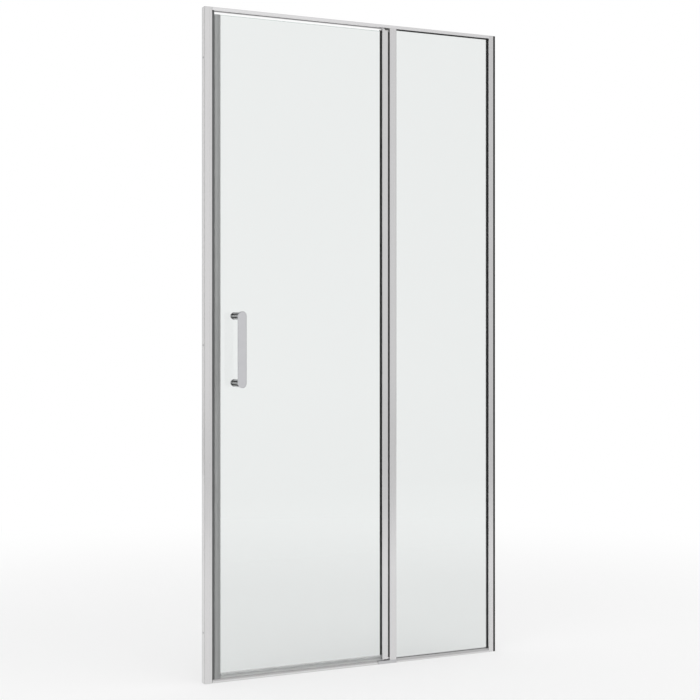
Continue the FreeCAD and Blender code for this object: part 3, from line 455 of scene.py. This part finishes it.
INWARDS = (0, 1, 0)
RIGHT = (1, 0, 0)
UP = (0, 0, 1)
DOWN = (0, 0, -1)
LOCK_SCREW = ScrewSizes(head_radius=0.0034, head_height=0.0022, shank_radius=0.0018, shank_length=0.0046)
SUNK_SCREW = ScrewSizes(head_radius=0.0034, head_height=0.0016, shank_radius=0.00185, shank_length=0.008)
SET_SCREW = ScrewSizes(head_radius=0.002, head_height=0.0018, shank_radius=0.0019, shank_length=0.001)
CAP_BOLT = ScrewSizes(head_radius=0.0115, head_height=0.009, shank_radius=0.0039, shank_length=0.0292)
FLAT_SHARE = math.cos(math.pi / 8)                  # half the width over eight flats, of the radius

steel = slot_finishes["stainless_steel"]
cross_screws = screw_recipe(
    "cross_recess_screws", steel, dome=((0.25, 0.94), (0.20, 0.85), (0.10, 0.74), (0.0, 0.75)),
    recess=(-0.6, 0.6), reach_rule=cross_reach)
hexagon_screws = screw_recipe(
    "hexagon_set_screws", steel, dome=((0.45, 1.0), (0.10, 0.9), (0.0, 0.72)),
    recess=(-0.8, 0.98), reach_rule=hexagon_reach)
cap_bolts = screw_recipe(
    "round_cap_bolts", slot_finishes["polished_metal"],
    dome=((0.328, 1.0), (0.083, 0.99), (0.072, 0.958), (0.042, 0.945), (0.024, 0.922)))


def set_screws(name, recipe, seats, sizes, slot, body, *stands_for):
    """Screws on their seats, which are the places under their heads with the way each head faces."""
    made = recipe.grow(name, [place for place, _ in seats], sizes._asdict(),
                       facings=[facing for _, facing in seats])
    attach(made, body)
    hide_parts(*stands_for)


def lock_screw_seats(node):
    """The seats of three screws in a row up a jamb."""
    low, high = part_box(node)
    edge = LOCK_SCREW.head_radius * FLAT_SHARE
    x, y = (low.x + high.x) / 2, high.y - LOCK_SCREW.head_height
    return [((x, y, z), INWARDS) for z in (low.z + edge, (low.z + high.z) / 2, high.z - edge)]


def rail_top_seats():
    """The seats of the pivot block's two screws and of the post's screws, above and below."""
    low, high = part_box("top_block_screws")
    edge = SUNK_SCREW.head_radius * FLAT_SHARE
    y, z = (low.y + high.y) / 2, high.z - SUNK_SCREW.head_height
    seats = [((x, y, z), UP) for x in (low.x + edge, high.x - edge)]
    low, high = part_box("post_screws")
    x, y = (low.x + high.x) / 2, (low.y + high.y) / 2
    return seats + [((x, y, high.z - SUNK_SCREW.head_height), UP),
                    ((x, y, low.z + SUNK_SCREW.head_height), DOWN)]


def plug_screw_seats():
    """The seats of the two set screws in the side of the hinge section."""
    low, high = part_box("plug_screws")
    edge = SET_SCREW.head_radius * FLAT_SHARE
    x, y = high.x - SET_SCREW.head_height, (low.y + high.y) / 2
    return [((x, y, z), RIGHT) for z in (low.z + edge, high.z - edge)]


def cap_seats():
    """The seats of the two caps on the inside of the door."""
    low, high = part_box("cap_bolts")
    edge = (high.x - low.x) / 2
    x, y = (low.x + high.x) / 2, high.y - CAP_BOLT.head_height
    return [((x, y, z), INWARDS) for z in (low.z + edge, high.z - edge)]


set_screws("jamb_lock_screws", cross_screws,
           lock_screw_seats("left_lock_screws") + lock_screw_seats("right_lock_screws"), LOCK_SCREW,
           "stainless_steel", "frame", "left_lock_screws", "right_lock_screws")
set_screws("sunk_head_screws", cross_screws, rail_top_seats(), SUNK_SCREW,
           "stainless_steel", "frame", "top_block_screws", "post_screws")
set_screws("pivot_set_screws", hexagon_screws, plug_screw_seats(), SET_SCREW,
           "stainless_steel", "door", "plug_screws")
set_screws("handle_cap_bolts", cap_bolts, cap_seats(), CAP_BOLT,
           "polished_metal", "door", "cap_bolts")


# Glazing beads: round rubber cords in the corners between the panes and their slots

BEAD_RADIUS = 0.0011
BEAD_SEAT = 0.0001                                  # how far a bead is pressed into its gasket
BEAD_SIDES = 14
BEAD_POINTS = 60


def bead_recipe(rubber):
    """A round cord along each path."""
    r = Recipe("glazing_beads", ("radius",))
    path = r.node("GeometryNodeMeshToCurve", inputs={"Mesh": r.given("points")})
    path = r.node("GeometryNodeResampleCurve", inputs={"Curve": path, "Count": BEAD_POINTS})
    ring = r.node("GeometryNodeCurvePrimitiveCircle", {"mode": "RADIUS"},
                  {"Resolution": BEAD_SIDES, "Radius": r.given("radius")})
    cords = r.node("GeometryNodeCurveToMesh", inputs={
        "Curve": path, "Profile Curve": ring, "Fill Caps": True})
    r.end(cords, rubber)
    return r


beads = bead_recipe(slot_finishes["black_rubber"])
bead_out = BEAD_RADIUS - BEAD_SEAT


def lay_beads(name, runs, body):
    """Beads on both sides of the glass along runs, each from one place to another in X and Z."""
    depths = (-half_pane - BEAD_RADIUS, half_pane + BEAD_RADIUS)
    points = [(x, y, z) for start, end in runs for y in depths for x, z in (start, end)]
    paths = [(first, first + 1) for first in range(0, len(points), 2)]
    made = beads.grow(name, points, {"radius": BEAD_RADIUS}, paths=paths)
    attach(made, body)


hinge_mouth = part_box("hinge_profile")[0].x - bead_out
drip_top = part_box("drip_seal")[1].z + BEAD_RADIUS
pane_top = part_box("door_glass")[1].z
lay_beads("hinge_glazing_beads", [((hinge_mouth, drip_top), (hinge_mouth, pane_top))], "door")
post_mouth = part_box("hinge_post")[1].x + bead_out
jamb_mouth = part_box("right_jamb")[0].x - bead_out
rail_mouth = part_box("top_rail")[0].z - bead_out
sill_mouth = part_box("bottom_rail")[1].z
lay_beads("panel_glazing_beads", [((post_mouth, sill_mouth), (post_mouth, rail_mouth)),
                                  ((jamb_mouth, sill_mouth), (jamb_mouth, rail_mouth)),
                                  ((post_mouth, rail_mouth), (jamb_mouth, rail_mouth))], "frame")


# Studio: a pale floor, white surroundings, soft light, and grey cards that only show in reflections

FLOOR_HALF = 60
SHADOW_REACH = (1.0, 3.5)                           # where the floor starts to fade and where it is white
WALL_LEFT, WALL_RIGHT = -7, 7
WALL_FRONT, WALL_BEHIND = -4.5, 6
WALL_HEIGHT = 4.5
WALL_FOOT = 0.7                                     # height up to which a wall is darker
GREY_FLOOR_END = -2
GREY_FLOOR_LEVEL = 0.002
CEILING_HALF = 6
CEILING_LEVEL = 5.5
FLAG_LEFT, FLAG_RIGHT = -1.08, -0.60
FLAG_DEPTH = 2.0
FLAG_HEIGHT = 2.8


def flat_card(name, corners):
    """A flat sheet through its corners, part of the studio."""
    mesh = bpy.data.meshes.new(name)
    mesh.from_pydata(corners, [], [range(len(corners))])
    card = bpy.data.objects.new(name, mesh)
    scene.collection.objects.link(card)
    return card


def upright_card(name, start, end, height):
    """A sheet that stands on the floor between two places."""
    return flat_card(name, [(*start, 0), (*end, 0), (*end, height), (*start, height)])


def level_card(name, start, end, level):
    """A level sheet between two opposite corners."""
    (left, front), (right, back) = start, end
    outline = ((left, front), (right, front), (right, back), (left, back))
    return flat_card(name, [(x, y, level) for x, y in outline])


def pale_floor():
    """Pale floor that keeps the shadow near the door and fades to white far away."""
    card = level_card("studio_floor", (-FLOOR_HALF, -FLOOR_HALF), (FLOOR_HALF, FLOOR_HALF), 0)
    f = finish(card.name)
    where = f.place()
    away = f.node("ShaderNodeVectorMath", {"operation": "LENGTH"}, {0: where}, "Value")
    white_share = f.ramp(away, *SHADOW_REACH, low=0.55, high=1.0, course="SMOOTHSTEP")
    speckle = f.noise(where, scale=60.0, detail=3.0)
    near = f.node("ShaderNodeBsdfPrincipled", inputs={
        "Base Color": f.blend(speckle, (0.885, 0.885, 0.885, 1), (0.90, 0.90, 0.90, 1)),
        "Roughness": 1.0, "Specular IOR Level": 0.0})
    glow = f.node("ShaderNodeEmission", inputs={"Color": (1, 1, 1, 1), "Strength": 1.0})
    mixed = f.node("ShaderNodeMixShader", inputs={0: white_share, 1: near, 2: glow})
    f.node("ShaderNodeOutputMaterial", inputs={"Surface": mixed})
    card.data.materials.append(f.owner)


def mirrored_card(card, tone):
    """Shows a card in reflections alone, in one grey tone or by a rule that gives each place its tone."""
    f = finish(card.name)
    grey = tone(f) if callable(tone) else (tone, tone, tone, 1)
    bounces = f.node("ShaderNodeLightPath", output="Glossy Depth")
    reflected = f.math("MINIMUM", bounces, 1.0)
    clear = f.node("ShaderNodeBsdfTransparent")
    glow = f.node("ShaderNodeEmission", inputs={"Color": grey, "Strength": 1.0})
    mixed = f.node("ShaderNodeMixShader", inputs={0: reflected, 1: clear, 2: glow})
    f.node("ShaderNodeOutputMaterial", inputs={"Surface": mixed})
    card.data.materials.append(f.owner)


def wall_tone(place, reach, light, dark):
    """A wall's tone: light at one place across it, dark from a reach away on, and darker near the floor."""
    def tone(f):
        across, up = f.along(("X", "Z"))
        sideways = f.ramp(f.math("ABSOLUTE", across - place), 0.0, reach, light, dark)
        return sideways * f.ramp(up, 0.0, WALL_FOOT, low=0.80, high=1.0)
    return tone


def floor_tone(f):
    """The tone of the floor in front of the front wall: darker towards the wall."""
    return f.ramp(f.along("Y"), WALL_FRONT, GREY_FLOOR_END, low=0.66, high=0.92)


def studio_cards():
    """Grey walls, floor and ceiling and one dark flag, for the metal and the glass to reflect."""
    front_left, front_right = (WALL_LEFT, WALL_FRONT), (WALL_RIGHT, WALL_FRONT)
    behind_left, behind_right = (WALL_LEFT, WALL_BEHIND), (WALL_RIGHT, WALL_BEHIND)
    flag = upright_card("dark_flag", (FLAG_LEFT, FLAG_DEPTH), (FLAG_RIGHT, FLAG_DEPTH), FLAG_HEIGHT)
    mirrored_card(flag, tone=0.03)
    mirrored_card(upright_card("grey_wall", front_left, front_right, WALL_HEIGHT),
                  wall_tone(place=1.0, reach=4.5, light=0.90, dark=0.57))
    mirrored_card(upright_card("grey_wall_behind", behind_left, behind_right, WALL_HEIGHT),
                  wall_tone(place=-4.0, reach=10.0, light=1.0, dark=0.5))
    mirrored_card(upright_card("grey_wall_left", behind_left, front_left, WALL_HEIGHT), tone=0.85)
    mirrored_card(upright_card("grey_wall_right", front_right, behind_right, WALL_HEIGHT), tone=0.62)
    mirrored_card(level_card("grey_floor", front_left, (WALL_RIGHT, GREY_FLOOR_END), GREY_FLOOR_LEVEL),
                  floor_tone)
    mirrored_card(level_card("grey_ceiling", (-CEILING_HALF, -CEILING_HALF), (CEILING_HALF, CEILING_HALF),
                             CEILING_LEVEL), tone=0.6)


def studio_world():
    """White surroundings for what is seen, mirrored or seen through glass, and softer light on the rest."""
    world = bpy.data.worlds.new("studio")
    scene.world = world
    f = Finish(world)
    seen, mirrored, through = f.node(
        "ShaderNodeLightPath", output=("Is Camera Ray", "Is Glossy Ray", "Is Transmission Ray"))
    shown = f.math("MINIMUM", seen + mirrored + through, 1.0)
    sky = f.node("ShaderNodeBackground", inputs={
        "Color": (1, 1, 1, 1), "Strength": between(0.78, 1.0, shown)})
    f.node("ShaderNodeOutputWorld", inputs={"Surface": sky})


def soft_box(name, place, size, power):
    """A soft lamp that is aimed at the middle of the door and leaves no mirror image."""
    door_middle = Vector((0, 0, 1))
    lamp = bpy.data.lights.new(name, "AREA")
    lamp.shape = "RECTANGLE"
    lamp.size, lamp.size_y = size
    lamp.energy = power
    box = bpy.data.objects.new(name, lamp)
    box.location = place
    box.rotation_euler = (door_middle - Vector(place)).to_track_quat("-Z", "Y").to_euler()
    box.visible_glossy = False
    scene.collection.objects.link(box)


def photo_camera():
    """Level camera at the photograph's place, shifted so that uprights stay upright."""
    lens = bpy.data.cameras.new("photo_camera")
    lens.sensor_width = 36
    lens.lens = 73.31
    lens.shift_y = -0.0294
    camera = bpy.data.objects.new("photo_camera", lens)
    camera.location = (-1.93656, -3.98432, 1.04646)
    camera.rotation_euler = (math.radians(90), 0, math.radians(-25.708))
    scene.collection.objects.link(camera)
    scene.camera = camera


pale_floor()
studio_world()
studio_cards()
soft_box("soft_box_high", place=(0.3, -1.2, 4.2), size=(4, 3), power=38)
soft_box("soft_box_left", place=(-3.5, -2.5, 2.4), size=(1.6, 2.4), power=14)
photo_camera()
